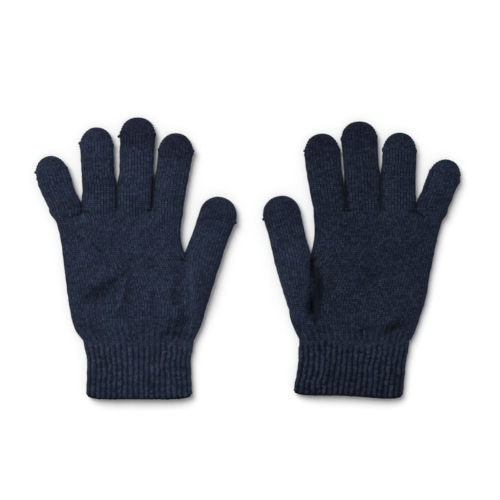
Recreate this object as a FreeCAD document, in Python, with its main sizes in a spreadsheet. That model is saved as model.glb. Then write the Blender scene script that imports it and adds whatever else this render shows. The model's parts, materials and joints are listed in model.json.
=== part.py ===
"""A pair of five-finger knitted gloves with ribbed cuffs, laid flat with the palms up.

Every size is in millimetres. +X runs to the right across the pair, +Y towards the fingertips and
+Z up. The origin is on the resting plane, under the middle of the pair. In a glove's own frame X
runs towards its thumb, so the right glove is the left one mirrored, with its own cuff lean and
thumb angle. Each finger is cut where it bends: root, mid and tip. Every cut is an upright plane
that holds its hinge line, and the hinge line runs along the palm-side surface.
"""

import math
import os

import FreeCAD
import Part
import Sketcher

OUT_FOLDER = "parts"
HALF_TURN = 180.0
QUARTER = math.pi / 2
UP = FreeCAD.Vector(0, 0, 1)
# What a sketch or a turn is drawn with before its own dimensions take hold
ROUGH_WIDE, ROUGH_FLOOR, ROUGH_RADIUS, ROUGH_ANGLE = 20.0, 1.0, 4.0, 10.0

# The driving sizes: (name, value in millimetres or degrees)
SHARED_SIZES = [
    ("glove_offset", 87.6),  # from the pair's middle to the middle of a cuff
    ("wall", 1.8),  # one layer of knit
    ("hem_wall", 2.3),  # the bound-off edge is thicker than the rib
    ("seam", 0.4),  # gap left at each cut
    ("hem_seam", 0.1),  # gap between the rib and the hem
    ("trim", 0.3),  # taken off the underside to leave it flat
    ("finger_thick", 10.0),
    ("palm_thick", 12.0),
    ("wrist_thick", 10.6),
    ("hem_reach", 112.2),  # from the origin to the end of the hem
    ("hem_height", 3.6),
    ("wrist_row", -65.2),  # where the rib starts
    ("knuckle_row", 40.2),  # where the four fingers start
    ("knot_size", 0.9),  # radius of the closed-off yarn end beside each fingertip
    ("knot_gap", 0.05),  # how far it stays clear of the stall
    ("thumb_half", 14.8),
    ("thumb_root_row", -0.5),
    ("thumb_root_depth", 30.0),  # how far the thumb tube starts inside the palm
    ("thumb_bend_at", 23.7),  # along the thumb, from its root
    ("thumb_reach", 51.4),
]

# Sizes of one glove only: (name, left, right)
SIDE_SIZES = [
    ("thumb_angle", 20.0, 14.0),
    ("thumb_root_side", 50.0, 52.4),
    ("heel_lean", 0.0, 3.2),  # how far the lower palm sits towards the thumb
    ("cuff_lean", 0.0, 8.6),  # the same at the hem
    ("cuff_spread", 0.0, 1.8),  # how much further each side of the cuff and hem lies
    ("little_short", 0.0, 1.2),  # how much shorter than the table below each finger is
    ("ring_short", 0.0, 4.4),
    ("middle_short", 0.0, 2.8),
    ("index_short", 0.0, 0.0),
]

# finger: middle of its root, middle of its tip, half width at root and tip,
#         rows of its two bends, and the row its tip reaches
FINGERS = {
    "little": (-58.9, -70.2, 12.4, 12.6, 54.6, 66.0, 81.2),
    "ring": (-32.1, -34.0, 13.4, 13.6, 64.2, 82.6, 105.6),
    "middle": (-4.1, -1.6, 13.4, 14.6, 67.2, 88.4, 112.2),
    "index": (22.6, 28.2, 12.2, 14.4, 61.2, 78.2, 100.4),
}
FINGER_SIZES = [
    "root_side",
    "tip_side",
    "root_half",
    "tip_half",
    "bend_row",
    "end_bend_row",
    "reach",
]

# palm cross-sections from the wrist to the knuckles:
# (name, row, edge on the little-finger side, edge on the thumb side, share of the heel lean)
PALM_ROWS = [
    ("wrist", -65.0, -46.6, 44.4, 1.1),
    ("heel", -46.0, -53.8, 51.4, 1.1),
    ("ball", -27.0, -57.8, 53.6, 0.9),
    ("crease", -5.0, -61.0, 41.2, 0.6),
    ("web", 10.0, -62.4, 34.4, 0.3),
    ("body", 22.0, -64.6, 32.8, 0.0),
    ("knuckle", 40.0, -71.4, 34.8, 0.0),
]

# cuff cross-sections from the wrist down: (name, share of the way to the hem, half width)
CUFF_ROWS = [
    ("top", 0.0, 45.2),
    ("neck", 0.3, 41.4),
    ("mouth", 1.0, 42.0),
]
HEM_HALF = 42.4

SIDES = {"left": 1, "right": -1}

# which side of its tip each closed-off yarn end is on: +1 is the thumb side
KNOT_SIDE = {
    "left": {"little": -1, "ring": -1, "middle": -1, "index": 1},
    "right": {"little": 1, "ring": 1, "middle": 1, "index": 1},
}


def make_sheet(doc):
    """The spreadsheet that holds every driving size."""
    rows = list(SHARED_SIZES)
    for name, left, right in SIDE_SIZES:
        rows.append(("left_" + name, left))
        rows.append(("right_" + name, right))
    for finger, values in FINGERS.items():
        for name, value in zip(FINGER_SIZES, values):
            rows.append((finger + "_" + name, value))
    for name, row, outer, inner, lean in PALM_ROWS:
        rows.append(("palm_" + name + "_row", row))
        rows.append(("palm_" + name + "_outer", outer))
        rows.append(("palm_" + name + "_inner", inner))
        rows.append(("palm_" + name + "_lean", lean))
    for name, share, half in CUFF_ROWS:
        rows.append(("cuff_" + name + "_share", share))
        rows.append(("cuff_" + name + "_half", half))
    rows.append(("hem_half", HEM_HALF))
    sheet = doc.addObject("Spreadsheet::Sheet", "sizes")
    for number, (name, value) in enumerate(rows, start=1):
        sheet.set("A%d" % number, name)
        sheet.set("B%d" % number, str(value))
        sheet.setAlias("B%d" % number, name)
    doc.recompute()
    return sheet


def size(name):
    """A sheet value, as it is written in an expression."""
    return "sizes." + name


def new_body(doc, label, side):
    """A body placed where its glove lies."""
    body = doc.addObject("PartDesign::Body", label)
    body.Label = label
    body.setExpression(".Placement.Base.x", "%d * %s" % (-SIDES[side], size("glove_offset")))
    return body


def origin_plane(body, role):
    """One of a body's own three planes."""
    for feature in body.Origin.OriginFeatures:
        if feature.Role == role:
            return feature
    raise ValueError("no plane " + role)


def upright_sketch(body, label, across, row, turn="0"):
    """A sketch on an upright plane that faces along the finger, centred on a place in the glove."""
    sketch = body.newObject("Sketcher::SketchObject", label)
    sketch.AttachmentSupport = [(origin_plane(body, "XZ_Plane"), "")]
    sketch.MapMode = "FlatFace"
    sketch.AttachmentOffset = FreeCAD.Placement(
        FreeCAD.Vector(0, 0, 0), FreeCAD.Rotation(FreeCAD.Vector(0, 1, 0), ROUGH_ANGLE)
    )
    sketch.setExpression(".AttachmentOffset.Base.x", across)
    sketch.setExpression(".AttachmentOffset.Base.z", "-(%s)" % row)
    sketch.setExpression(".AttachmentOffset.Rotation.Angle", turn)
    return sketch


def bind(sketch, constraint, expression):
    """Add a dimension to a sketch and drive it from the sheet."""
    number = sketch.addConstraint(constraint)
    sketch.setExpression("Constraints[%d]" % number, expression)


def add_stadium(sketch, half, low, high):
    """A flat loop: straight above and below, round at both sides. Its middle is on the upright axis."""
    first = sketch.GeometryCount
    wide, floor, radius = ROUGH_WIDE, ROUGH_FLOOR, ROUGH_RADIUS
    roof = floor + 2 * radius
    near = Part.Circle(FreeCAD.Vector(wide, floor + radius, 0), UP, radius)
    far = Part.Circle(FreeCAD.Vector(-wide, floor + radius, 0), UP, radius)
    shapes = [
        Part.LineSegment(FreeCAD.Vector(-wide, floor, 0), FreeCAD.Vector(wide, floor, 0)),
        Part.ArcOfCircle(near, -QUARTER, QUARTER),
        Part.LineSegment(FreeCAD.Vector(wide, roof, 0), FreeCAD.Vector(-wide, roof, 0)),
        Part.ArcOfCircle(far, QUARTER, 3 * QUARTER),
    ]
    for shape in shapes:
        sketch.addGeometry(shape, False)
    bottom, right, top, left = first, first + 1, first + 2, first + 3
    for a, b in ((bottom, right), (right, top), (top, left), (left, bottom)):
        sketch.addConstraint(Sketcher.Constraint("Tangent", a, 2, b, 1))
    sketch.addConstraint(Sketcher.Constraint("Horizontal", bottom))
    sketch.addConstraint(Sketcher.Constraint("Horizontal", top))
    reach = "%s - (%s - (%s)) / 2" % (half, high, low)
    bind(sketch, Sketcher.Constraint("DistanceY", -1, 1, bottom, 1, floor), low)
    height = Sketcher.Constraint("DistanceY", bottom, 2, top, 1, 2 * radius)
    bind(sketch, height, "%s - (%s)" % (high, low))
    bind(sketch, Sketcher.Constraint("DistanceX", -1, 1, right, 3, wide), reach)
    bind(sketch, Sketcher.Constraint("DistanceX", left, 3, -1, 1, wide), reach)


def ring_section(body, label, across, row, half, thick, wall):
    """A hollow cross-section: the outer loop and, one wall inside it, the inner loop."""
    sketch = upright_sketch(body, label, across, row)
    add_stadium(sketch, half, "0", thick)
    add_stadium(sketch, "%s - %s" % (half, wall), wall, "%s - %s" % (thick, wall))
    return sketch


def make_loft(body, label, sections, kind="PartDesign::AdditiveLoft"):
    """A loft through sections: straight between two, smooth through more."""
    loft = body.newObject(kind, label)
    loft.Profile = sections[0]
    loft.Sections = sections[1:]
    loft.Ruled = len(sections) == 2
    return loft


def make_tube(doc, label, side, sections, wall):
    """A body lofted through hollow sections: [(across, row, half, thick)]."""
    body = new_body(doc, label, side)
    sketches = [
        ring_section(body, "%s_section_%d" % (label, number), across, row, half, thick, wall)
        for number, (across, row, half, thick) in enumerate(sections)
    ]
    make_loft(body, label + "_tube", sketches)
    return body


def add_round_end(body, label, across, row, half, thick, turn="0"):
    """Close a tube with half a turn of its own section about the upright line through its middle."""
    sketch = upright_sketch(body, label + "_profile", across, row, turn)
    wall = size("wall")
    wide, outer, inner = ROUGH_WIDE, ROUGH_RADIUS, ROUGH_RADIUS / 2
    centre = FreeCAD.Vector(wide, outer, 0)

    def point(x, y):
        return FreeCAD.Vector(x, y, 0)

    low_out, high_out = 0, 2 * outer
    low_in, high_in = outer - inner, outer + inner
    shapes = [
        Part.LineSegment(point(0, low_out), point(wide, low_out)),
        Part.ArcOfCircle(Part.Circle(centre, UP, outer), -QUARTER, QUARTER),
        Part.LineSegment(point(wide, high_out), point(0, high_out)),
        Part.LineSegment(point(0, high_out), point(0, high_in)),
        Part.LineSegment(point(0, high_in), point(wide, high_in)),
        Part.ArcOfCircle(Part.Circle(centre, UP, inner), -QUARTER, QUARTER),
        Part.LineSegment(point(wide, low_in), point(0, low_in)),
        Part.LineSegment(point(0, low_in), point(0, low_out)),
    ]
    for shape in shapes:
        sketch.addGeometry(shape, False)
    floor, outside, roof, roof_end, ceiling, inside, bed, floor_end = range(8)
    sketch.addConstraint(Sketcher.Constraint("Tangent", floor, 2, outside, 1))
    sketch.addConstraint(Sketcher.Constraint("Tangent", outside, 2, roof, 1))
    sketch.addConstraint(Sketcher.Constraint("Coincident", roof, 2, roof_end, 1))
    sketch.addConstraint(Sketcher.Constraint("Coincident", roof_end, 2, ceiling, 1))
    sketch.addConstraint(Sketcher.Constraint("Tangent", ceiling, 2, inside, 2))
    sketch.addConstraint(Sketcher.Constraint("Tangent", inside, 1, bed, 1))
    sketch.addConstraint(Sketcher.Constraint("Coincident", bed, 2, floor_end, 1))
    sketch.addConstraint(Sketcher.Constraint("Coincident", floor_end, 2, floor, 1))
    for line in (floor, roof, ceiling, bed):
        sketch.addConstraint(Sketcher.Constraint("Horizontal", line))
    sketch.addConstraint(Sketcher.Constraint("Coincident", floor, 1, -1, 1))
    sketch.addConstraint(Sketcher.Constraint("PointOnObject", roof, 2, -2))
    sketch.addConstraint(Sketcher.Constraint("PointOnObject", ceiling, 1, -2))
    sketch.addConstraint(Sketcher.Constraint("PointOnObject", bed, 2, -2))
    sketch.addConstraint(Sketcher.Constraint("Coincident", inside, 3, outside, 3))
    bind(sketch, Sketcher.Constraint("DistanceY", floor, 1, roof, 2, 2 * outer), thick)
    bind(sketch, Sketcher.Constraint("DistanceY", floor, 1, bed, 2, low_in), wall)
    bind(
        sketch,
        Sketcher.Constraint("DistanceX", -1, 1, outside, 3, wide),
        "%s - %s / 2" % (half, thick),
    )
    end = body.newObject("PartDesign::Revolution", label + "_end")
    end.Profile = sketch
    end.ReferenceAxis = (sketch, ["V_Axis"])
    end.Angle = HALF_TURN
    return end


def tip_row(finger, side):
    """The row of the middle of a finger's round end."""
    short = size("%s_%s_short" % (side, finger))
    return "(%s - %s - %s)" % (size(finger + "_reach"), short, size(finger + "_tip_half"))


def finger_place(finger, side, row):
    """(where a finger's middle is at a row, its half width there), as expressions.

    Both change evenly from the finger's root to the middle of its round end.
    """
    end_row = tip_row(finger, side)
    share = "((%s - %s) / (%s - %s))" % (row, size("knuckle_row"), end_row, size("knuckle_row"))
    root, tip = size(finger + "_root_side"), size(finger + "_tip_side")
    across = "%d * (%s + (%s - %s) * %s)" % (SIDES[side], root, tip, root, share)
    root_half, tip_half = size(finger + "_root_half"), size(finger + "_tip_half")
    half = "(%s + (%s - %s) * %s)" % (root_half, tip_half, root_half, share)
    return across, half


def make_finger(doc, finger, side):
    """The root, mid and tip of one finger stall."""
    seam = size("seam") + " / 2"
    knuckle, bend = size("knuckle_row"), size(finger + "_bend_row")
    end_bend = size(finger + "_end_bend_row")
    spans = {
        "root": ("(%s + %s)" % (knuckle, seam), "(%s - %s)" % (bend, seam)),
        "mid": ("(%s + %s)" % (bend, seam), "(%s - %s)" % (end_bend, seam)),
        "tip": ("(%s + %s)" % (end_bend, seam), tip_row(finger, side)),
    }
    thick = size("finger_thick")
    for part_name, rows in spans.items():
        label = "%s_%s_%s" % (side, finger, part_name)
        sections = [finger_place(finger, side, row) for row in rows]
        places = [(across, row, half, thick) for (across, half), row in zip(sections, rows)]
        body = make_tube(doc, label, side, places, size("wall"))
        if part_name == "tip":
            across, half = sections[1]
            add_round_end(body, label, across, rows[1], half, thick)


def make_thumb(doc, side):
    """The root and tip of the thumb stall, straight along the thumb's own direction."""
    across = "%d * %s" % (SIDES[side], size(side + "_thumb_root_side"))
    angle = "%d * %s" % (-SIDES[side], size(side + "_thumb_angle"))
    seam = size("seam") + " / 2"
    half, thick, wall = size("thumb_half"), size("finger_thick"), size("wall")
    reach = "%s - %s" % (size("thumb_reach"), half)
    spans = {
        "root": (seam, "%s - %s" % (size("thumb_bend_at"), seam)),
        "tip": ("%s + %s" % (size("thumb_bend_at"), seam), reach),
    }
    for part_name, rows in spans.items():
        label = "%s_thumb_%s" % (side, part_name)
        body = make_tube(doc, label, side, [("0", row, half, thick) for row in rows], wall)
        if part_name == "tip":
            add_round_end(body, label, "0", rows[1], half, thick)
        place = "%d * %s + %s" % (-SIDES[side], size("glove_offset"), across)
        body.setExpression(".Placement.Base.x", place)
        body.setExpression(".Placement.Base.y", size("thumb_root_row"))
        body.Placement = FreeCAD.Placement(
            body.Placement.Base, FreeCAD.Rotation(UP, ROUGH_ANGLE)
        )
        body.setExpression(".Placement.Rotation.Angle", angle)


def palm_sections(body, side, wall):
    """The palm's cross-sections, moved in by a wall: 0 for the outside."""
    sketches = []
    for name, _, _, _, _ in PALM_ROWS:
        cells = [size("palm_%s_%s" % (name, what)) for what in ("row", "outer", "inner", "lean")]
        row, outer, inner, lean = cells
        thick = {"wrist": "wrist_thick", "knuckle": "finger_thick"}.get(name, "palm_thick")
        middle = "(%s + %s) / 2 + %s * %s" % (outer, inner, lean, size(side + "_heel_lean"))
        across = "%d * (%s)" % (SIDES[side], middle)
        if wall == "0":
            label, low = "%s_palm_outside_%s" % (side, name), "-" + size("trim")
        else:
            label, low = "%s_palm_inside_%s" % (side, name), wall
        sketch = upright_sketch(body, label, across, row)
        half = "((%s - %s) / 2 - %s)" % (inner, outer, wall)
        add_stadium(sketch, half, low, "(%s - %s)" % (size(thick), wall))
        sketches.append(sketch)
    return sketches


def thumb_mouth(body, side, label, wall):
    """The thumb tube's section where the thumb leaves the palm."""
    across = "%d * %s" % (SIDES[side], size(side + "_thumb_root_side"))
    angle = "%d * %s" % (-SIDES[side], size(side + "_thumb_angle"))
    sketch = upright_sketch(body, label, across, size("thumb_root_row"), angle)
    low = "-" + size("trim") if wall == "0" else wall
    half = "(%s - %s)" % (size("thumb_half"), wall)
    add_stadium(sketch, half, low, "(%s - %s)" % (size("finger_thick"), wall))
    return sketch


def ground_square(body, label):
    """A square on the resting plane, centred on the origin and wider than the glove."""
    square = body.newObject("Sketcher::SketchObject", label)
    square.AttachmentSupport = [(origin_plane(body, "XY_Plane"), "")]
    square.MapMode = "FlatFace"
    corners = [FreeCAD.Vector(x, y, 0) for x, y in ((-1, -1), (1, -1), (1, 1), (-1, 1))]
    for number, way in enumerate(("Horizontal", "Vertical", "Horizontal", "Vertical")):
        square.addGeometry(Part.LineSegment(corners[number], corners[(number + 1) % 4]), False)
        square.addConstraint(Sketcher.Constraint(way, number))
    for number in range(4):
        square.addConstraint(Sketcher.Constraint("Coincident", number, 2, (number + 1) % 4, 1))
    square.addConstraint(Sketcher.Constraint("Symmetric", 0, 1, 1, 2, -1, 1))
    side = "2 * %s" % size("hem_reach")
    bind(square, Sketcher.Constraint("DistanceX", 0, 1, 0, 2, 2), side)
    bind(square, Sketcher.Constraint("DistanceY", 1, 1, 1, 2, 2), side)
    return square


def make_palm(doc, side):
    """The hand of the glove: a lofted pouch, open at the wrist, the knuckles and the thumb."""
    label = side + "_palm"
    body = new_body(doc, label, side)
    make_loft(body, label + "_outside", palm_sections(body, side, "0"))
    stub = body.newObject("PartDesign::Pad", label + "_thumb_stub")
    stub.Profile = thumb_mouth(body, side, label + "_thumb_outside", "0")
    stub.setExpression("Length", size("thumb_root_depth"))
    hollow = palm_sections(body, side, size("wall"))
    make_loft(body, label + "_inside", hollow, "PartDesign::SubtractiveLoft")
    way = body.newObject("PartDesign::Pocket", label + "_thumb_way")
    way.Profile = thumb_mouth(body, side, label + "_thumb_inside", size("wall"))
    way.setExpression("Length", size("thumb_root_depth"))
    way.Reversed = True
    cut = body.newObject("PartDesign::Pocket", label + "_flat")
    cut.Profile = ground_square(body, label + "_underside")
    cut.Type = "ThroughAll"
    return body


def cuff_place(side, share):
    """(where the cuff's middle is, its row), at a share of the way from the wrist to the hem."""
    wrist_lean = "%s * %s" % (size("palm_wrist_lean"), size(side + "_heel_lean"))
    more_lean = "(%s - %s) * %s" % (size(side + "_cuff_lean"), wrist_lean, share)
    lean = "%d * (%s + %s)" % (SIDES[side], wrist_lean, more_lean)
    top = "(%s - %s / 2)" % (size("wrist_row"), size("seam"))
    end = "(%s - %s)" % (size("hem_height"), size("hem_reach"))
    return lean, "(%s + (%s - %s) * %s)" % (top, end, top, share)


def spread_half(side, name):
    """Half the width of a section of the rib, as that glove's cuff lies."""
    return "(%s + %s)" % (size(name), size(side + "_cuff_spread"))


def make_cuff(doc, side):
    """The ribbed cuff tube and, below it, the thicker bound-off hem."""
    sections = []
    for name, _, _ in CUFF_ROWS:
        across, row = cuff_place(side, size("cuff_%s_share" % name))
        thick = size("wrist_thick" if name == "top" else "finger_thick")
        sections.append((across, row, spread_half(side, "cuff_%s_half" % name), thick))
    make_tube(doc, side + "_cuff", side, sections, size("wall"))
    across, row = cuff_place(side, "1")
    ends = ["(%s - %s)" % (row, size("hem_seam")), "(0 - %s)" % size("hem_reach")]
    half = spread_half(side, "hem_half")
    rim = [(across, end, half, size("finger_thick")) for end in ends]
    make_tube(doc, side + "_hem", side, rim, size("hem_wall"))


def make_knot(doc, label, across, row):
    """The closed-off yarn end beside a fingertip, a small ball just clear of it."""
    ball = doc.addObject("Part::Sphere", label)
    ball.Label = label
    ball.setExpression("Radius", size("knot_size"))
    ball.setExpression(".Placement.Base.x", across)
    ball.setExpression(".Placement.Base.y", row)
    ball.setExpression(".Placement.Base.z", size("finger_thick") + " / 2")


def make_knots(doc, side):
    """One closed-off yarn end beside every fingertip."""
    offset = "%d * %s" % (-SIDES[side], size("glove_offset"))
    reach = "(%s + %s)" % (size("knot_size"), size("knot_gap"))
    for finger, way in KNOT_SIDE[side].items():
        out = "%d * (%s + %s)" % (way, size(finger + "_tip_half"), reach)
        edge = "(%s + %s)" % (size(finger + "_tip_side"), out)
        across = "%s + %d * %s" % (offset, SIDES[side], edge)
        make_knot(doc, "%s_%s_knot" % (side, finger), across, tip_row(finger, side))
    angle = "%s * 1 deg" % size(side + "_thumb_angle")
    along = "(%s - %s)" % (size("thumb_reach"), size("thumb_half"))
    out = "(%s + %s)" % (size("thumb_half"), reach)
    turned = "%s * sin(%s) + %s * cos(%s)" % (along, angle, out, angle)
    edge = "(%s + %s)" % (size(side + "_thumb_root_side"), turned)
    row = "%s + %s * cos(%s) - %s * sin(%s)" % (size("thumb_root_row"), along, angle, out, angle)
    make_knot(doc, side + "_thumb_knot", "%s + %d * %s" % (offset, SIDES[side], edge), row)


def sub_parts(doc):
    """Every object that is a piece of the pair."""
    return [o for o in doc.Objects if o.TypeId in ("PartDesign::Body", "Part::Sphere")]


def check(doc):
    """Stop if anything failed to build."""
    for thing in doc.Objects:
        if "Invalid" in thing.State or "Error" in thing.State:
            raise RuntimeError("%s: %s" % (thing.Label, thing.State))
    for piece in sub_parts(doc):
        if piece.Shape.isNull() or not piece.Shape.isValid():
            raise RuntimeError("bad shape: " + piece.Label)
        if len(piece.Shape.Solids) != 1:
            raise RuntimeError("%s has %d solids" % (piece.Label, len(piece.Shape.Solids)))


def write(piece):
    """Save one piece and print its box."""
    piece.Shape.exportStep("%s/%s.step" % (OUT_FOLDER, piece.Label))
    box = piece.Shape.BoundBox
    spans = ((box.XMin, box.XMax), (box.YMin, box.YMax), (box.ZMin, box.ZMax))
    print("%-20s" % piece.Label, " ".join("%8.2f..%8.2f" % span for span in spans))


def main():
    doc = FreeCAD.newDocument("knitted_gloves")
    make_sheet(doc)
    for side in SIDES:
        make_palm(doc, side)
        make_cuff(doc, side)
        for finger in FINGERS:
            make_finger(doc, finger, side)
        make_thumb(doc, side)
        make_knots(doc, side)
    doc.recompute()
    check(doc)
    os.makedirs(OUT_FOLDER, exist_ok=True)
    for piece in sub_parts(doc):
        write(piece)


main()
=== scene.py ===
"""A pair of navy knitted five-finger gloves with ribbed cuffs, lying flat with the palms up.

A glove's own frame has u towards its thumb, v towards its fingertips and z up, in metres, with its
cuff's middle at u = 0. Every tube (finger, thumb, cuff) is a row of flattened rings. The knit is in
the mesh: each wale and course of stitches lifts the surface along its normal.
"""

import json
import math
from functools import cache

import bpy
import numpy as np
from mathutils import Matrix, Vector


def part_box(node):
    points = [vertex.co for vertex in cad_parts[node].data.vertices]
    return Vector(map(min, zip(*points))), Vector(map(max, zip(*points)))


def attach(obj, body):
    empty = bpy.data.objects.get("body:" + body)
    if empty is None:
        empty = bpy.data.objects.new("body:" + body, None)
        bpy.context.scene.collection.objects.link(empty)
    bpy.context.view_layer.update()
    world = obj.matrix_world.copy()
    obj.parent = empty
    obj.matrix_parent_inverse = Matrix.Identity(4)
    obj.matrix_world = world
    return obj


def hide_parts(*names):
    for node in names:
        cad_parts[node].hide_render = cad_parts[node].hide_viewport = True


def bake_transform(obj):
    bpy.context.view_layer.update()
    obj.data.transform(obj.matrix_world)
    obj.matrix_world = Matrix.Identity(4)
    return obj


MM = 0.001

SIDES = {"left": 1, "right": -1}
FINGERS = ("little", "ring", "middle", "index")
TOUCH = ("middle", "index", "thumb")  # the stalls whose tips are knitted in touch yarn

# the knit
COURSE = 1.7 * MM  # height of one row of stitches
RELIEF = 0.55 * MM  # how far a strand stands out
THUMB_RELIEF = {"left": 1.15, "right": 1.5}  # the thumbs' stitches stand out more than the rest
CLOTH = 1.7 * MM  # thickness of one layer
RIB_DEPTH = 1.0 * MM
RIBS = 20  # raised ribs on each face of the cuff
FINGER_WALES = {"little": 12, "ring": 13, "middle": 13, "index": 12}
THUMB_WALES = 14
THUMB_TOUCH = 0.6  # the thumbs' touch yarn is less dark than the fingers'
GATHER = 0.26 * MM  # how deep the ribs still show in the palm just above them

# the meshes
FACE_SAMPLES = 6  # points across a wale on the upper face
BACK_SAMPLES = 4  # and on the underside
ROW_SAMPLES = 5  # points along a course
CUFF_RIB_SAMPLES = 12
INNER_SKIP = 3  # the plain inner faces keep one point in three across
RING_SKIP = 8  # and one ring in eight along
INSIDE = 0.2  # the yarn height, tone and touch that the material reads on them; the height lies below every gap, so the inner faces take the darkest colour, painted shade inside the tubes
RING_KEYS = ("centres", "halves", "angles", "rises", "drops")  # what a ring of a stall needs

# cross sections
EDGE_HEIGHT = 4.2 * MM  # where the upper and lower faces meet at a side
FINGER_RISE = 5.4 * MM  # from there up to the top of a finger
PALM_RISE = 6.6 * MM
WRIST_RISE = 5.4 * MM
HEM_RISE = 4.4 * MM
ROUNDNESS = 2.3  # superellipse power of the upper face of the palm and cuff
FINGER_ROUNDNESS = 2.0  # and of the fingers
FLATNESS = 4.0  # and of the underside

# how the fingers of each glove lie
PARTING = {  # mm above the knuckles where a finger parts from the next one towards the thumb
    "left": {"little": 2.4, "ring": 18.0, "middle": 22.0},
    "right": {"little": 2.0, "ring": 27.0, "middle": 19.0},
}
PARTED = 11 * MM  # the gap between them takes this far to open
OVERLAP = 0.25 * MM  # how far they press into each other below the gap
DRAW_BACK = {"left": 0.35, "right": 0.0}  # mm each of them draws back beside it
GROOVE_SHADE = {"little": 0.75, "ring": 0.5, "middle": 1.3}  # how much painted shade falls in the groove below it
SWAY = {  # mm a finger's tip leans towards the thumb
    "left": {"little": 0.0, "ring": -0.5, "middle": 0.0, "index": 0.5},
    "right": {"little": 0.4, "ring": 1.0, "middle": 0.8, "index": 0.8},
}
SWAY_LENGTH = 50 * MM  # the length of stall over which it leans
FULLNESS = {  # mm a finger's outer and inner edge swell past a straight line
    "left": {"little": (2.2, 0.4)},
    "right": {"little": (0.8, 1.2), "index": (0.0, 1.7)},
}
LONGER = {  # mm a tip reaches past its place in the frame
    "left": {"little": 1.0, "ring": -0.6, "middle": 0.8, "thumb": 0.8},
    "right": {"little": -0.6, "ring": -0.4, "middle": 0.4, "index": -0.3, "thumb": 0.4},
}
BLUNT = {"middle": 0.84}  # height of a fingertip's cap in half widths, where it is not 1
SHOULDER = 0.55 * MM  # the cap starts with a small step out, then in

# how the palm, the thumb and the cuff of each glove lie
HEEL = {"left": -0.8, "right": 1.2}  # mm the palm's heel draws in on the little-finger side
WEB = {"left": 0.0, "right": 2.2}  # mm the palm is wider between the thumb and the index finger
PALM_LEAN = {"left": 0.0, "right": 3.4}  # mm the palm's lower half lies towards the thumb
CUFF_TOP = {"left": -1.0, "right": 3.0}  # mm the cuff's top lies towards the thumb
CUFF_END = {"left": -0.4, "right": 8.2}  # and its end
HEM_TILT = {"left": 0.0, "right": 3.0}  # mm the hem rises towards its thumb side
HEM_CORNER = 2.6 * MM  # how far the hem's corners draw up
GORE = 50 * MM  # the thumb's cloth starts this far below its root line
GORE_TOP = 6.2 * MM  # and has risen this far above EDGE_HEIGHT there
TUCK = {"left": 1.3, "right": 4.2}  # mm the palm sinks where the thumb's cloth lies on it
BLEND = 6 * MM  # unevenness grows from nothing over this much cloth beside a seam

VIEW_WIDTH = 0.400  # metres across the picture


# ---- the frame
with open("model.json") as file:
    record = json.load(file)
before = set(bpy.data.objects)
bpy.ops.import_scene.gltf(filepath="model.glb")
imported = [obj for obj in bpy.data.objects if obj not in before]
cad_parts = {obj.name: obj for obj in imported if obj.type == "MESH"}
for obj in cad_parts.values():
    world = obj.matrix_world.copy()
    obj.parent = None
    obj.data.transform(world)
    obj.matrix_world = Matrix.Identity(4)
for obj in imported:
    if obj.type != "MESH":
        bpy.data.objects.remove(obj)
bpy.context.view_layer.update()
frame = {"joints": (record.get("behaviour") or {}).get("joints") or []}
joints = {j["name"]: j for j in frame["joints"]}


def joint_at(name):
    """Where a joint is, in the shared frame."""
    return Vector(joints[name]["pos_m"])


@cache
def glove_offset(side):
    """x of a glove's own zero: the middle of the left hem, or the same place mirrored."""
    low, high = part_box("left_hem")
    return SIDES[side] * (low[0] + high[0]) / 2


def to_frame(side, points):
    """Points given as (u, v, z) in a glove's frame, moved to the shared frame."""
    out = np.array(points, float)
    out[..., 0] = glove_offset(side) + SIDES[side] * out[..., 0]
    return out


def u_of(side, x):
    """A place across a glove: x in the shared frame, turned into u."""
    return SIDES[side] * (x - glove_offset(side))


@cache
def u_range(side, node):
    """The two sides of a node's box in the glove's frame, the little-finger one first."""
    low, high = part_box(node)
    return sorted((u_of(side, low[0]), u_of(side, high[0])))


# ---- curves
def smooth(t):
    """An even step: 0 below 0, 1 above 1 and an S between."""
    t = np.clip(t, 0.0, 1.0)
    return t * t * (3 - 2 * t)


def through(points, at):
    """A smooth curve through (place, value) points, read at places."""
    xs = np.array([p[0] for p in points], float)
    ys = np.array([p[1] for p in points], float)
    slopes = np.gradient(ys, xs)
    at = np.clip(np.asarray(at, float), xs[0], xs[-1])
    k = np.clip(np.searchsorted(xs, at) - 1, 0, len(xs) - 2)
    h = xs[k + 1] - xs[k]
    t = (at - xs[k]) / h
    a = (1 + 2 * t) * (1 - t) ** 2 * ys[k] + t * (1 - t) ** 2 * h * slopes[k]
    b = t * t * (3 - 2 * t) * ys[k + 1] + t * t * (t - 1) * h * slopes[k + 1]
    return a + b


def half_ring(half, rise, power, count):
    """Half a flattened ring from its -half side to its +half side, evenly spaced: (across, up)."""
    angle = np.linspace(math.pi, 0, 241)
    across = half * np.sign(np.cos(angle)) * np.abs(np.cos(angle)) ** (2 / power)
    up = rise * np.abs(np.sin(angle)) ** (2 / power)
    steps = np.hypot(np.diff(across), np.diff(up))
    along = np.concatenate([[0], np.cumsum(steps)])
    even = np.linspace(0, along[-1], count)
    return np.interp(even, along, across), np.interp(even, along, up)


def value_noise(x, y, seed):
    """Smooth noise between -1 and 1, one bump to a unit."""
    grid = np.random.default_rng(seed).uniform(-1, 1, (257, 257))
    x, y = np.mod(np.asarray(x, float), 256), np.mod(np.asarray(y, float), 256)
    i, j = np.floor(x).astype(int), np.floor(y).astype(int)
    fx, fy = smooth(x - i), smooth(y - j)
    a, b = grid[i, j], grid[i + 1, j]
    c, d = grid[i, j + 1], grid[i + 1, j + 1]
    return (a * (1 - fx) + b * fx) * (1 - fy) + (c * (1 - fx) + d * fx) * fy


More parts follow.
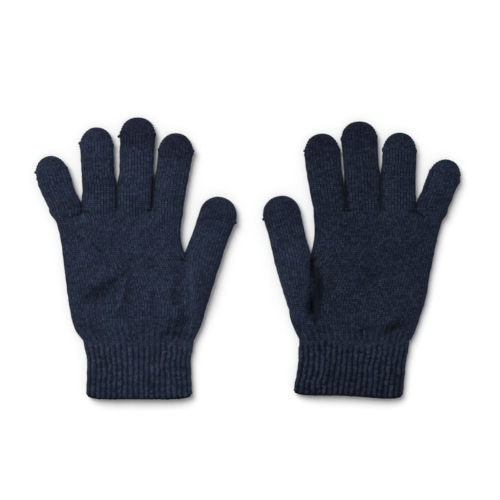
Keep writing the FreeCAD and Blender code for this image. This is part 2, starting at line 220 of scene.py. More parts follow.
# ---- stitches
def stocking(wale, course, seed):
    """(height, tone) of a stocking-stitch face: two slanting strands to each stitch."""
    across = np.abs(2 * (wale - np.floor(wale)) - 1)
    strand = np.sqrt(np.clip(1 - ((across - 0.45) / 0.57) ** 2, 0, 1))
    phase = course + 0.6 * across
    bead = np.abs(np.cos(np.pi * phase)) ** 0.8
    loose = value_noise(np.floor(wale) * 1.37 + 3.3, np.floor(phase + 0.5) * 1.71 + 8.1, seed)
    height = strand * (0.5 + 0.5 * bead) * (1 + 0.16 * loose)
    return height, 0.5 + 0.5 * loose


def ribbing(rib, course, seed):
    """(height, tone) of one-by-one rib: a raised wale and a sunk one to each rib."""
    local = (rib - np.floor(rib) - 0.5) / 0.37
    across = np.abs(local)
    phase = course + 0.6 * across
    bead = np.abs(np.cos(np.pi * phase)) ** 0.7
    strand_place = np.floor(rib) * 1.9 + np.sign(local) * 0.4
    loose = value_noise(strand_place, np.floor(phase + 0.5) * 1.3, seed)
    strand = np.sqrt(np.clip(1 - ((across - 0.46) / 0.62) ** 2, 0, 1))
    slope = np.cos(0.5 * np.pi * np.clip(across / 1.35, 0, 1)) ** 0.8
    purl = 0.16 * np.abs(np.sin(np.pi * course)) * (1 - strand)
    height = slope * (0.5 + strand * (0.20 + 0.32 * bead) * (1 + 0.45 * loose)) + purl
    return height, 0.5 + 0.5 * loose


# ---- meshes
def normals_of(points, around):
    """Unit normals of a grid of points."""
    if around:
        across = np.roll(points, -1, 1) - np.roll(points, 1, 1)
    else:
        across = np.gradient(points, axis=1)
    along = np.gradient(points, axis=0)
    normal = np.cross(across, along)
    length = np.linalg.norm(normal, axis=2, keepdims=True)
    return normal / np.maximum(length, 1e-12)


def grid_faces(rows, columns, first, around):
    """Quads of a grid whose points start at number first."""
    wide = columns if around else columns - 1
    i, j = np.meshgrid(np.arange(rows - 1), np.arange(wide), indexing="ij")
    k = (j + 1) % columns
    here, above = i * columns, (i + 1) * columns
    quads = np.stack([here + j, here + k, above + k, above + j], -1)
    return quads.reshape(-1, 4) + first


def zip_edges(a, b):
    """Triangles between two lines of points that start and end side by side."""
    faces, i, j = [], 0, 0
    while i < len(a) - 1 or j < len(b) - 1:
        next_a = (i + 1) / max(len(a) - 1, 1) if i < len(a) - 1 else 9.0
        next_b = (j + 1) / max(len(b) - 1, 1) if j < len(b) - 1 else 9.0
        if next_a <= next_b:
            faces.append((a[i], a[i + 1], b[j]))
            i += 1
        else:
            faces.append((a[i], b[j + 1], b[j]))
            j += 1
    return faces


def edge_lines(rows, columns, first, around):
    """The start, end and (for a sheet) side lines of a grid, as point numbers."""
    start = [first + j for j in range(columns)]
    end = [first + (rows - 1) * columns + j for j in range(columns)]
    if around:
        return [start + start[:1], end + end[:1]]
    left = [first + i * columns for i in range(rows)]
    right = [first + i * columns + columns - 1 for i in range(rows)]
    return [start, end, left, right]


def shell(name, outer, inner, attributes, around, closed_end=False):
    """A closed mesh: the outer grid, the inner grid and the strips that join their edges.

    attributes maps a name to a value for each outer point; inner points get INSIDE.
    """
    (rows, columns), (inner_rows, inner_columns) = outer.shape[:2], inner.shape[:2]
    points = [outer.reshape(-1, 3), inner.reshape(-1, 3)]
    second = rows * columns
    quads = [grid_faces(rows, columns, 0, around)]
    quads.append(grid_faces(inner_rows, inner_columns, second, around)[:, ::-1])
    triangles = []
    outer_edges = edge_lines(rows, columns, 0, around)
    inner_edges = edge_lines(inner_rows, inner_columns, second, around)
    for number, (a, b) in enumerate(zip(outer_edges, inner_edges)):
        turned = number in (0, 3)
        if closed_end and number == 1:
            continue
        for face in zip_edges(a, b):
            triangles.append(face[::-1] if not turned else face)
    if closed_end:
        for edge, grid, flip in ((outer_edges[1], outer, False), (inner_edges[1], inner, True)):
            middle = sum(len(p) for p in points)
            points.append(grid[-1].mean(axis=0, keepdims=True))
            for a, b in zip(edge[:-1], edge[1:]):
                triangles.append((b, a, middle) if flip else (a, b, middle))
    co = np.concatenate(points)
    quads = np.concatenate(quads)
    triangles = np.array(triangles, int).reshape(-1, 3)
    if signed_volume(co, quads, triangles) < 0:
        quads, triangles = quads[:, ::-1], triangles[:, ::-1]
    mesh = new_mesh(name, co, quads, triangles)
    for key, values in attributes.items():
        full = np.full(len(co), INSIDE, np.float32)
        full[:second] = values.ravel()
        layer = mesh.attributes.new(key, "FLOAT", "POINT")
        layer.data.foreach_set("value", full)
    piece = bpy.data.objects.new(name, mesh)
    bpy.context.scene.collection.objects.link(piece)
    return piece


def new_mesh(name, co, quads, triangles):
    """A smooth-shaded mesh of points, quads and triangles."""
    mesh = bpy.data.meshes.new(name)
    mesh.vertices.add(len(co))
    mesh.vertices.foreach_set("co", co.ravel())
    loops = np.concatenate([quads.ravel(), triangles.ravel()])
    mesh.loops.add(len(loops))
    mesh.loops.foreach_set("vertex_index", loops)
    quad_starts = np.arange(len(quads)) * 4
    starts = np.concatenate([quad_starts, len(quads) * 4 + np.arange(len(triangles)) * 3])
    mesh.polygons.add(len(starts))
    mesh.polygons.foreach_set("loop_start", starts)
    mesh.update(calc_edges=True)
    mesh.validate()
    mesh.polygons.foreach_set("use_smooth", np.ones(len(mesh.polygons), bool))
    return mesh


def signed_volume(co, quads, triangles):
    """Six times a mesh's volume, below zero when its faces look inwards."""
    halves = np.concatenate([quads[:, [0, 1, 2]], quads[:, [0, 2, 3]], triangles])
    a, b, c = co[halves[:, 0]], co[halves[:, 1]], co[halves[:, 2]]
    return float(np.einsum("ij,ij->i", a, np.cross(b, c)).sum())


def knit_attributes(height, tone, touch=0.0):
    """What the yarn's material reads at each point: stitch height, tone and share of touch yarn."""
    return {
        "yarn": height,
        "tone": np.broadcast_to(tone, height.shape),
        "touch": np.broadcast_to(np.reshape(touch, (-1, 1)), height.shape),
    }


def dress(piece, node, material):
    """Give a piece its material and hide the node it stands for."""
    piece.data.materials.append(material)
    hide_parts(node)


# ---- tubes
def closed_ring(upper, lower):
    """An upper and a lower half ring joined into one: (across, height above the table)."""
    (across, up), (under, down) = upper, lower
    flat = np.concatenate([across, under[::-1][1:-1]])
    high = EDGE_HEIGHT + np.concatenate([up, -down[::-1][1:-1]])
    return flat, high


def ring_grid(rows, wales, thinner=0.0):
    """Rows of flattened rings: over the top from the little-finger side, then back underneath."""
    face, back = wales * FACE_SAMPLES + 1, wales * BACK_SAMPLES + 1
    grid = []
    for (u, v), half, angle, rise, drop in zip(*(rows[key] for key in RING_KEYS)):
        half, rise, drop = (max(size - thinner, 0.2 * MM) for size in (half, rise, drop))
        upper = half_ring(half, rise, FINGER_ROUNDNESS, face)
        flat, high = closed_ring(upper, half_ring(half, drop, FLATNESS, back))
        grid.append(np.stack([u + flat * math.cos(angle), v + flat * math.sin(angle), high], -1))
    return np.array(grid)


def ring_wales(wales):
    """The wale number of every point round a ring."""
    face = np.arange(wales * FACE_SAMPLES + 1) / FACE_SAMPLES
    back = wales + np.arange(1, wales * BACK_SAMPLES) / BACK_SAMPLES
    return np.concatenate([face, back])


def outward(points):
    """+1 where the normals of a tube's grid point away from its middle, else -1."""
    middle = points.mean(axis=1, keepdims=True)
    return 1 if ((points - middle) * normals_of(points, True)).sum() > 0 else -1


def knit_rings(points, wales, courses, seed, amount):
    """Raise stitches on a grid of rings. amount scales them row by row."""
    height, tone = stocking(ring_wales(wales)[None, :], courses[:, None], seed)
    lift = outward(points) * (height - 0.5) * RELIEF * amount[:, None]
    return points + normals_of(points, True) * lift[..., None], height, tone


def capped(length, half, cap_height):
    """The rows of a tube with a round closed end: (place along it, path length, share of width)."""
    step = COURSE / ROW_SAMPLES
    straight = np.arange(0, length, step)
    cap_steps = int(round(half * math.pi / 2 / step))
    cap = np.linspace(0, math.pi / 2, cap_steps + 1)[1:-1]
    along = np.concatenate([straight, length + cap_height * np.sin(cap)])
    arc = np.concatenate([straight, length + half * cap])
    shrink = np.concatenate([np.ones(len(straight)), np.cos(cap)])
    return along, arc, shrink


def tube_piece(side, name, rows, start, end, knit, attributes, wales):
    """One stretch of a tube between two of its rings, with a plain inner face; a tip is closed."""
    coarse = np.unique(np.linspace(start, end, max(4, (end - start) // RING_SKIP)).astype(int))
    inner = ring_grid({key: rows[key][coarse] for key in RING_KEYS}, wales, CLOTH)[:, ::INNER_SKIP]
    pick = slice(start, end + 1)
    own = {key: values[pick] for key, values in attributes.items()}
    outer = to_frame(side, knit[pick])
    closed = name.endswith("tip")
    return shell("%s_%s_knit" % (side, name), outer, to_frame(side, inner), own, True, closed)


# ---- fingers
@cache
def finger_line(side, finger):
    """A finger's middle line and half width in the glove's frame: root, bends, lean, reach."""
    name = "%s_%s" % (side, finger)
    root, bend, end = (joint_at(name + ending) for ending in ("_knuckle", "_bend", "_end"))
    root_u, end_u = u_of(side, root.x), u_of(side, end.x)
    lean = (end_u - root_u) / (end.y - root.y)
    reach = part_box(name + "_tip")[1][1]
    # the tip's far edge lies one half width from its middle, itself one half width short of reach
    edge = u_range(side, name + "_tip")[1]
    half = (edge - end_u - lean * (reach - end.y)) / (1 - lean)
    reach += LONGER[side].get(finger, 0.0) * MM
    return dict(root=(root_u, root.y), bend=bend.y, end=end.y, lean=lean, reach=reach, half=half)


def straight_edges(side, finger, v):
    """A finger's two edges at places along it, before its neighbours press on it."""
    line = finger_line(side, finger)
    root_u, root_v = line["root"]
    sides = u_range(side, "%s_%s_root" % (side, finger))
    root_half = sides[1] - root_u if line["lean"] < 0 else root_u - sides[0]
    tip_v = line["reach"] - line["half"]
    share = np.clip((v - root_v) / (tip_v - root_v), 0, None)
    half = root_half + (line["half"] - root_half) * np.minimum(share, 1)
    middle = root_u + line["lean"] * (v - root_v) + SWAY[side][finger] * MM * share
    full = np.sin(np.pi * np.clip(0.2 + 0.8 * share, 0, 1)) * MM
    outer, inner = FULLNESS[side].get(finger, (0.0, 0.0))
    return middle - half - outer * full, middle + half + inner * full


def parted(side, finger, right, left, v, root_v):
    """Close the gap between a finger's right edge and the next one's left edge near their roots."""
    opening = np.clip((v - root_v - PARTING[side][finger] * MM) / PARTED, 0, 1) ** 0.8
    press = OVERLAP * smooth((v - root_v) / (4 * MM)) * (1 - opening)
    middle, gap = (right + left) / 2, left - right
    apart = (gap / 2 + DRAW_BACK[side] * MM) * opening - press
    return middle - apart, middle + apart


def finger_edges(side, finger, v):
    """A finger's two edges at places along it, as it lies among its neighbours."""
    root_v = finger_line(side, finger)["root"][1]
    low, high = straight_edges(side, finger, v)
    number = FINGERS.index(finger)
    if number > 0:
        before = FINGERS[number - 1]
        low = parted(side, before, straight_edges(side, before, v)[1], low, v, root_v)[1]
    if number < len(FINGERS) - 1:
        after = FINGERS[number + 1]
        high = parted(side, finger, high, straight_edges(side, after, v)[0], v, root_v)[0]
    return low, high


@cache
def root_edges(side):
    """Where the four fingers meet along the knuckles, from the little finger's outer edge."""
    root_v = joint_at(side + "_ring_knuckle").y
    pairs = [finger_edges(side, finger, root_v) for finger in FINGERS]
    return [float(low) for low, high in pairs] + [float(pairs[-1][1])]


def plump(along, edge_sum):
    """How a finger's height varies along it; fingers differ by where their two edges lie."""
    return 1 + 0.05 * np.sin(along / (9 * MM) + 150 * edge_sum)


def finger_rows(side, finger):
    """Every ring of a finger from its root to its closed end."""
    line = finger_line(side, finger)
    root_v, lean = line["root"][1], line["lean"] + SWAY[side][finger] * MM / SWAY_LENGTH
    tilt = math.atan(lean)
    stretch = 1 / math.cos(tilt)
    cap_height = line["half"] * BLUNT.get(finger, 1.0)
    tip_v = line["reach"] - cap_height
    length = (tip_v - root_v) * stretch
    along, arc, shrink = capped(length, line["half"], cap_height)
    v = root_v + along / stretch
    low, high = finger_edges(side, finger, np.minimum(v, tip_v))
    u = (low + high) / 2 + lean * np.maximum(v - tip_v, 0)
    past = along - length
    step_out = np.exp(-((past + 0.6 * MM) / (1.5 * MM)) ** 2) - 0.75 * smooth(past / (1.6 * MM))
    scallop = 0.22 * MM * np.cos(2 * np.pi * arc / (1.5 * COURSE)) * smooth(past / (3 * MM))
    slim = 0.5 * RELIEF * smooth(along / (14 * MM))
    half = ((high - low) / 2 - slim + SHOULDER * step_out) * shrink + scallop * shrink ** 0.3
    return dict(
        centres=np.stack([u, v], -1),
        halves=half,
        angles=tilt * -smooth((v - line["bend"]) / (line["end"] - line["bend"])),
        rises=FINGER_RISE * plump(along, low[0] + high[0]) * shrink ** 0.6,
        drops=EDGE_HEIGHT * shrink ** 0.75,
        arc=arc,
        shrink=shrink,
        line=line,
        v=v,
        # painted shade from the neighbour on each side
        pressed=[neighbour_shade(side, finger, v, root_v, way) for way in (-1, 1)],
    )


def neighbour_shade(side, finger, v, root_v, way):
    """How much painted shade falls on a finger's outer (-1) or inner (1) side, where it lies
    against its neighbour below their parting.
    """
    number = FINGERS.index(finger)
    first = number - 1 if way < 0 else number
    if first < 0 or first >= len(FINGERS) - 1:
        return np.zeros(len(v))
    parting = PARTING[side][FINGERS[first]] * MM
    return GROOVE_SHADE[FINGERS[first]] * (1 - smooth((v - root_v - parting) / (6 * MM)))


def hidden(rows, wales):
    """The share of each point's light that the neighbouring finger takes."""
    face = np.arange(wales * FACE_SAMPLES + 1) / (wales * FACE_SAMPLES)
    ring = np.zeros((len(rows["v"]), wales * (FACE_SAMPLES + BACK_SAMPLES)))
    # painted shade, strongest at the edge beside a neighbour
    for firm, edge in zip(rows["pressed"], (0.0, 1.0)):
        near = np.exp(-((np.abs(face - edge) / 0.09) ** 2))
        ring[:, : len(face)] += firm[:, None] * near[None, :]
    return np.minimum(ring, 1)


def sag(values, shrink):
    """Keep stitches from crowding where a fingertip draws in."""
    return values * np.clip(shrink / 0.45, 0.15, 1)


def crumple(points, seed, depth=0.45 * MM):
    """Soft unevenness of the lying cloth, mostly in height, none at the table."""
    u, v = points[..., 0], points[..., 1]
    low = value_noise(u / (13 * MM) + 40, v / (16 * MM) + 40, seed)
    high = value_noise(u / (4.5 * MM) + 90, v / (5.5 * MM) + 90, seed + 1)
    above = np.clip((points[..., 2] - EDGE_HEIGHT) / FINGER_RISE, 0, 1)
    out = points.copy()
    out[..., 2] += above * depth * (low + 0.45 * high)
    out[..., 0] += 0.22 * MM * value_noise(v / (3.4 * MM) + 7, u / (20 * MM) + 7, seed + 2)
    return out


def make_stall(side, finger, wales, seed):
    """One finger in three pieces: root, middle and tip."""
    rows = finger_rows(side, finger)
    grid = ring_grid(rows, wales)
    hold = smooth(rows["arc"] / BLEND)[:, None, None]
    grid = grid + (crumple(grid, seed) - grid) * hold
    firm = sag(np.ones(len(grid)), rows["shrink"])
    knit, height, tone = knit_rings(grid, wales, rows["arc"] / COURSE, seed, firm)
    root_v, bend_v, end_v = rows["line"]["root"][1], rows["line"]["bend"], rows["line"]["end"]
    touch = smooth((rows["v"] - end_v + 2 * MM) / (5 * MM)) * (finger in TOUCH)
    # the stitch height darkened by painted shade beside the neighbouring fingers
    attributes = knit_attributes(height * (1 - hidden(rows, wales)), tone, touch)
    near, far = bend_v - root_v, end_v - bend_v
    splits = (root_v + 0.62 * near, (bend_v + end_v) / 2)
    cuts = [0] + [int(np.searchsorted(rows["v"], v)) for v in splits] + [len(grid) - 1]
    for number, part in enumerate(("root", "mid", "tip")):
        name = "%s_%s" % (finger, part)
        start, end = cuts[number], cuts[number + 1]
        piece = tube_piece(side, name, rows, start, end, knit, attributes, wales)
        dress(piece, "%s_%s" % (side, name), knit_materials[side])
        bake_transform(piece)


# ---- thumb
def thumb_frame(side):
    """A thumb's root, bend, direction angle from +v towards +u, half width and length."""
    root, bend = joint_at(side + "_thumb_knuckle"), joint_at(side + "_thumb_bend")
    root_u, bend_u = u_of(side, root.x), u_of(side, bend.x)
    angle = math.atan2(bend_u - root_u, bend.y - root.y)
    edge, top = u_range(side, side + "_thumb_tip")[1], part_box(side + "_thumb_tip")[1][1]
    # the round end reaches one half width past its own middle, both outwards and upwards
    half = (edge - root_u - math.tan(angle) * (top - root.y)) / (1 - math.tan(angle))
    reach = (top - half - root.y) / math.cos(angle) + half + LONGER[side]["thumb"] * MM
    return np.array([root_u, root.y]), np.array([bend_u, bend.y]), angle, half, reach


def gore_rows(root, half, angle):
    """The rings of the cloth below a thumb, from the heel of the palm to the thumb's root line."""
    arc = np.arange(0, GORE, COURSE / ROW_SAMPLES)
    share = arc / GORE
    foot = root[1] - GORE
    across = np.array([math.cos(angle), -math.sin(angle)])
    left_end, right_end = root - half * across, root + half * across
    left_u = left_end[0] + 1.2 * MM * np.sin(np.pi * share)
    left = np.stack([left_u, foot + (left_end[1] - foot) * share], -1)
    far = right_end[0]
    outline = [(0, root[0] - 0.1 * MM), (0.35, far - 9.2 * MM), (0.7, far - 4.2 * MM), (1, far)]
    right = np.stack([through(outline, share), foot + (right_end[1] - foot) * share], -1)
    wide = right - left
    return dict(
        centres=(left + right) / 2,
        halves=np.linalg.norm(wide, axis=1) / 2,
        angles=np.arctan2(wide[:, 1], wide[:, 0]),
        rises=through([(0, 3.0), (0.35, 6.6), (0.75, 7.6), (1, GORE_TOP / MM)], share) * MM,
        arc=arc,
        shrink=np.ones(len(arc)),
    )


def thumb_rows(root, angle, half, reach):
    """Every ring of a thumb: up its gore, then from its root line to its closed end."""
    length = reach - half
    along, arc, shrink = capped(length, half, half)
    waist = 1 - 0.04 * np.sin(np.pi * np.clip(along / length, 0, 1))
    settle = GORE_TOP + (FINGER_RISE - GORE_TOP) * smooth(along / (14 * MM))
    stall = dict(
        centres=root + along[:, None] * np.array([math.sin(angle), math.cos(angle)]),
        halves=half * waist * shrink,
        angles=np.full(len(along), -angle),
        rises=settle * shrink ** 0.6,
        arc=GORE + arc,
        shrink=shrink,
    )
    gore = gore_rows(root, half, angle)
    rows = {key: np.concatenate([gore[key], stall[key]]) for key in gore}
    rows["drops"] = EDGE_HEIGHT * rows["shrink"] ** 0.75
    return rows


def make_thumb(side, seed):
    """A thumb in three pieces: its gore, which goes with the palm, its root and its tip."""
    root, bend, angle, half, reach = thumb_frame(side)
    bend_at = math.hypot(*(bend - root))
    rows = thumb_rows(root, angle, half, reach)
    grid = crumple(ring_grid(rows, THUMB_WALES), seed)
    firm = sag(np.full(len(grid), THUMB_RELIEF[side]), rows["shrink"])
    knit, height, tone = knit_rings(grid, THUMB_WALES, rows["arc"] / COURSE, seed, firm)
    shade = pressed(grid[..., 0], grid[..., 1], folds_of(side))[1]
    path = rows["arc"] - GORE
    touch = THUMB_TOUCH * smooth((path - bend_at - 3 * MM) / (1.2 * MM))
    # painted shade and highlights of the palm's creases, on the thumb's upper face
    lit = height * (1 - shade * (grid[..., 2] > EDGE_HEIGHT))
    attributes = knit_attributes(lit, tone, touch)
    splits = [int(np.searchsorted(path, place)) for place in (0.0, 0.56 * bend_at)]
    cuts = [0] + splits + [len(grid) - 1]
    pieces = [
        tube_piece(side, "thumb_" + part, rows, start, end, knit, attributes, THUMB_WALES)
        for part, start, end in zip(("gore", "root", "tip"), cuts[:-1], cuts[1:])
    ]
    roles = (("palm", "knit"), ("thumb_root", "knit"), ("thumb_tip", "touch_knit"))
    for piece, (node, slot) in zip(pieces, roles):
        dress(piece, "%s_%s" % (side, node), thumb_materials[side])
    hand, lower, upper = side + "_hand", side + "_thumb_root", side + "_thumb_tip"
    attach(pieces[0], hand)
    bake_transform(pieces[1])
    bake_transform(pieces[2])


# ---- palm
def palm_edges(side):
    """A palm's side edges as (v, u) points: the little-finger side, then the thumb side."""
    edges = root_edges(side)
    wrist, knuckle = joint_at(side + "_cuff_fold").y, joint_at(side + "_ring_knuckle").y
    heel, web = HEEL[side], WEB[side]
    # mm above the wrist, and mm from the glove's middle
    outer = [(0, -45.6), (6.5, -49.8 + heel), (19, -54.0 + heel), (32, -57.0), (58, -60.4),
             (86, -64.4), (96, -67.4)]
    inner = [(0, 43.6), (6.5, 46.8), (19, 51.4), (32, 51.6), (48, 47.0), (58, 42.0),
             (68, 36.4 + 0.4 * web), (78, 33.2 + web), (90, 32.8 + web), (98, 33.8 + 0.8 * web)]
    lines = []
    for line, end in ((outer, edges[0]), (inner, edges[-1])):
        lines.append([(wrist + up * MM, out * MM) for up, out in line] + [(knuckle, end)])
    return lines


def folds_of(side):
    """Creases pressed into a palm: (start, end, half width, depth, shade).

    Lengths are in mm in the glove's frame. shade is the share of light lost at the bottom of a
    crease, painted into the colour; below 0 it is a painted highlight. An entry of depth 0 presses
    nothing and is only painted shade or highlight.
    """
    shared = [
        ((-52, 33.6), (-45.5, 37.6), 1.1, 1.0, 0.60),
        ((-46, 37.6), (-39.6, 37.0), 1.1, 1.0, 0.60),
        ((4, 38.4), (13.5, 38.0), 1.0, 1.6, 0.60),
        ((-23, 38.6), (-14, 39.0), 0.8, 0.9, 0.30),
        ((32.5, 0.0), (37.5, -2.0), 1.3, 1.0, 0.70),
        ((-20, 27.5), (30, 26.5), 0.5, 0.22, 0.06),
        ((-48, 21.5), (28, 21.0), 0.5, 0.16, 0.05),
        ((-44, 16.0), (24, 15.0), 0.5, 0.12, 0.05),
    ]
    own = {
        "left": [
            ((-41, -35), (-8, -11), 5.5, 3.2, 0.22),
            ((-40, -30), (-25, -28), 7.0, 0.8, 0.20),
            ((-8.5, -13), (-19.0, -46), 1.8, -2.0, -0.10),
            ((-3, -18), (-12, -46), 3.2, 1.2, 0.14),
            ((10, -24), (11, -50), 5.0, 1.4, 0.12),
            ((39, -12), (38, -44), 3.0, -2.4, -0.25),
            ((42, -10), (41.5, -42), 2.6, 0.0, -0.35),
            ((38.5, 6.0), (36.5, 1.0), 1.3, 0.0, 0.55),
            ((31, -10), (29, -40), 3.5, 1.3, 0.10),
            ((37, -44), (30, -58), 4.4, 2.4, 0.34),
            ((25, -56), (19, -62), 2.2, 1.4, 0.26),
            ((26, -61), (40, -62), 2.2, 1.4, 0.22),
            ((45.5, -46), (41, -60), 1.6, -1.2, 0.0),
            ((27, -44), (17, -59), 1.6, -1.0, 0.0),
            ((-45, -55), (-26, -61), 2.0, 1.4, 0.16),
        ],
        "right": [
            ((36.6, 2.0), (35.6, -14.0), 2.6, 1.2, 0.34),
            ((33.0, -10.0), (32.6, -36.0), 4.6, 1.8, 0.52),
            ((36.6, -32.0), (35.6, -47.0), 5.0, 2.6, 0.66),
            ((28.0, -4), (27, -40), 3.0, -0.8, 0.0),
            ((-36, -50), (-18, -60), 3.2, 2.2, 0.36),
            ((-30, -46), (-12, -56), 1.8, -1.1, 0.0),
            ((-14, -55), (4, -60), 2.0, 1.6, 0.20),
            ((-50, 10), (-30, 2), 5.0, 1.2, 0.10),
            ((-20, -8), (10, -30), 7.0, 1.2, 0.10),
            ((24, -58), (40, -61), 2.4, 1.3, 0.14),
        ],
    }
    return shared + own[side]


def pressed(u, v, folds):
    """How deep the creases press at each place, and the share of light lost there."""
    depth = np.zeros(np.broadcast(u, v).shape)
    shade = np.zeros(depth.shape)
    for (u0, v0), (u1, v1), width, deep, dark in folds:
        ax, ay = u0 * MM, v0 * MM
        dx, dy = (u1 - u0) * MM, (v1 - v0) * MM
        t = np.clip(((u - ax) * dx + (v - ay) * dy) / (dx * dx + dy * dy), 0, 1)
        wander = 0.8 * MM * np.sin(6 * t + u0)
        away = np.hypot(u - ax - t * dx - wander, v - ay - t * dy)
        ends = np.sin(np.pi * np.clip(t, 0.08, 0.92)) ** 0.5
        press = np.exp(-((away / (width * MM)) ** 2)) * ends
        depth += deep * MM * press
        shade += dark * press
    return depth, np.clip(shade, -0.5, 0.8)


def tucked(side, u, v):
    """How far the palm sinks beside and under the base of the thumb."""
    near = smooth((u - 31.5 * MM) / (5.5 * MM))
    top, end = smooth((6 * MM - v) / (8 * MM)), smooth((v + 54 * MM) / (14 * MM))
    return TUCK[side] * MM * near * top * end


def knuckle_section(side, above):
    """A palm's cross section where it meets the fingers, one lobe to each: (u, height)."""
    edges = root_edges(side)
    samples = FACE_SAMPLES if above else BACK_SAMPLES
    lobes_u, lobes_z = [], []
    for finger, low, high in zip(FINGERS, edges[:-1], edges[1:]):
        height = FINGER_RISE * plump(0.0, low + high) if above else EDGE_HEIGHT
        power = FINGER_ROUNDNESS if above else FLATNESS
        across, up = half_ring((high - low) / 2, height, power, FINGER_WALES[finger] * samples + 1)
        skip = 1 if lobes_u else 0
        lobes_u.append((low + high) / 2 + across[skip:])
        lobes_z.append(up[skip:])
    return np.concatenate(lobes_u), np.concatenate(lobes_z)


def palm_layer(side, above, v, thinner):
    """One face of a palm as rows of points from its wrist up, with heights from its side edges."""
    share = (v - v[0]) / (v[-1] - v[0])
    shift = PALM_LEAN[side] * MM * (1 - smooth((share - 0.35) / 0.5))
    left, right = (through(line, v) + shift for line in palm_edges(side))
    rise = through([(0, WRIST_RISE), (0.14, 6.3 * MM), (0.45, PALM_RISE), (0.8, 6.2 * MM),
                    (1, FINGER_RISE)], share)
    lobes_u, lobes_z = knuckle_section(side, above)
    melt = smooth((share - 0.9) / 0.1)
    power = ROUNDNESS if above else FLATNESS
    rows = []
    for low, high, tall, flat, place in zip(left, right, rise, melt, v):
        height = (tall if above else EDGE_HEIGHT) - thinner
        across, up = half_ring((high - low) / 2 - thinner, height, power, len(lobes_u))
        u = ((low + high) / 2 + across) * (1 - flat) + lobes_u * flat
        z = up * (1 - flat) + lobes_z * (height / (height + thinner)) * flat
        rows.append(np.stack([u, np.full(len(u), place), z], -1))
    return np.array(rows)


def rib_ghost(above_wrist, columns, seed):
    """How much the cuff's ribs still gather the palm: -1 to 1, dying out above the wrist."""
    ribs = np.cos(np.linspace(0, 2 * np.pi * RIBS, columns))[None, :]
    noise = value_noise(np.arange(columns) * RIBS / columns, 3.0, seed + 7)
    reach = 6 * MM * (1.3 + 0.9 * noise)
    return ribs * np.exp(-above_wrist[:, None] / reach[None, :])


def make_palm_face(side, above, seed):
    """One face of a palm: a closed layer of cloth, with creases on the upper one."""
    wrist, knuckle = joint_at(side + "_cuff_fold").y, joint_at(side + "_ring_knuckle").y
    count = int(round((knuckle - wrist) / (COURSE / ROW_SAMPLES))) + 1
    v = np.linspace(wrist, knuckle, count)
    outer, inner = (palm_layer(side, above, v, thinner) for thinner in (0.0, CLOTH))
    columns = outer.shape[1]
    light = 1.0
    if above:
        depth, shade = pressed(outer[..., 0], outer[..., 1], folds_of(side))
        dent = depth + tucked(side, outer[..., 0], outer[..., 1])
        dent = dent * np.clip(outer[..., 2] / (4 * MM), 0, 1)
        outer[..., 2] -= dent
        inner[..., 2] -= dent
        ghost = rib_ghost(v - wrist, columns, seed)
        outer[..., 2] -= GATHER * ghost
        # painted shade in the creases and in the hollows where the ribs gather the palm; a crease's
        # shade below 0 is a painted highlight
        light = (1 - shade) * (1 - 0.22 * ghost)
    for layer in (outer, inner):
        layer[..., 2] = EDGE_HEIGHT + layer[..., 2] * (1 if above else -1)
    if above:
        share = (v - wrist) / (knuckle - wrist)
        fade = (smooth((1 - share) / 0.06) * smooth((v - wrist) / BLEND))[:, None, None]
        outer = outer + (crumple(outer, seed, 0.85 * MM) - outer) * fade
    wale = np.arange(columns)[None, :] / (FACE_SAMPLES if above else BACK_SAMPLES)
    course = ((v - wrist) / COURSE)[:, None]
    height, tone = stocking(wale, course, seed if above else seed + 50)
    normal = normals_of(outer, False)
    way = np.sign(normal[..., 2].mean()) * (1 if above else -1)
    knit = outer + normal * way * ((height - 0.5) * RELIEF)[..., None]
    coarse_rows = np.unique(np.linspace(0, count - 1, 24).astype(int))
    coarse_columns = np.unique(np.linspace(0, columns - 1, 60).astype(int))
    inner = to_frame(side, inner[coarse_rows][:, coarse_columns])
    name = "%s_palm_%s" % (side, "face" if above else "back")
    piece = shell(name, to_frame(side, knit), inner, knit_attributes(height * light, tone), False)
    dress(piece, side + "_palm", knit_materials[side])
    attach(piece, side + "_hand")


# ---- cuff
def cuff_rows(side, start, end, count):
    """The cuff's rings between two places from its top: (middle u, v, half width, place)."""
    share = np.linspace(start, end, count)
    wrist = joint_at(side + "_cuff_fold").y
    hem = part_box(side + "_hem")[0][1]
    v = wrist + (hem - wrist) * share
    u = (CUFF_TOP[side] + (CUFF_END[side] - CUFF_TOP[side]) * share) * MM
    outline = [(0, 44.6), (0.12, 43.6), (0.3, 42.0), (0.6, 41.9), (0.9, 42.4), (1, 42.0)]
    own, left = (u_range(side, name) for name in (side + "_hem", "left_hem"))
    wider = (own[1] - own[0] - left[1] + left[0]) / 2
    half = through(outline, share) * MM + wider * 0.9 * smooth(share / 0.25)
    return u, v, half, share


def cuff_layer(rows, lip, thinner):
    """The cuff's rings as a grid of points, drawn in by a thickness of cloth."""
    count = RIBS * CUFF_RIB_SAMPLES + 1
    grid = []
    for u, v, half, share, wide in zip(*rows, lip):
        rise = WRIST_RISE + (HEM_RISE - WRIST_RISE) * smooth(share / 0.35)
        upper = half_ring(half * wide - thinner, rise * wide - thinner, ROUNDNESS, count)
        lower = half_ring(half * wide - thinner, EDGE_HEIGHT * 0.94 - thinner, FLATNESS, count)
        flat, high = closed_ring(upper, lower)
        grid.append(np.stack([u + flat, np.full(len(flat), v), high], -1))
    return np.array(grid)


def hang(side, across, middle, half):
    """How far up the hem's edge lies: its corners draw up and one side may hang lower."""
    place = np.clip((across - middle) / half, -1, 1)
    tilt = HEM_TILT[side] * MM * smooth((place + 0.95) / 1.2)
    return HEM_CORNER * np.abs(place) ** 9 + tilt - 0.5 * MM


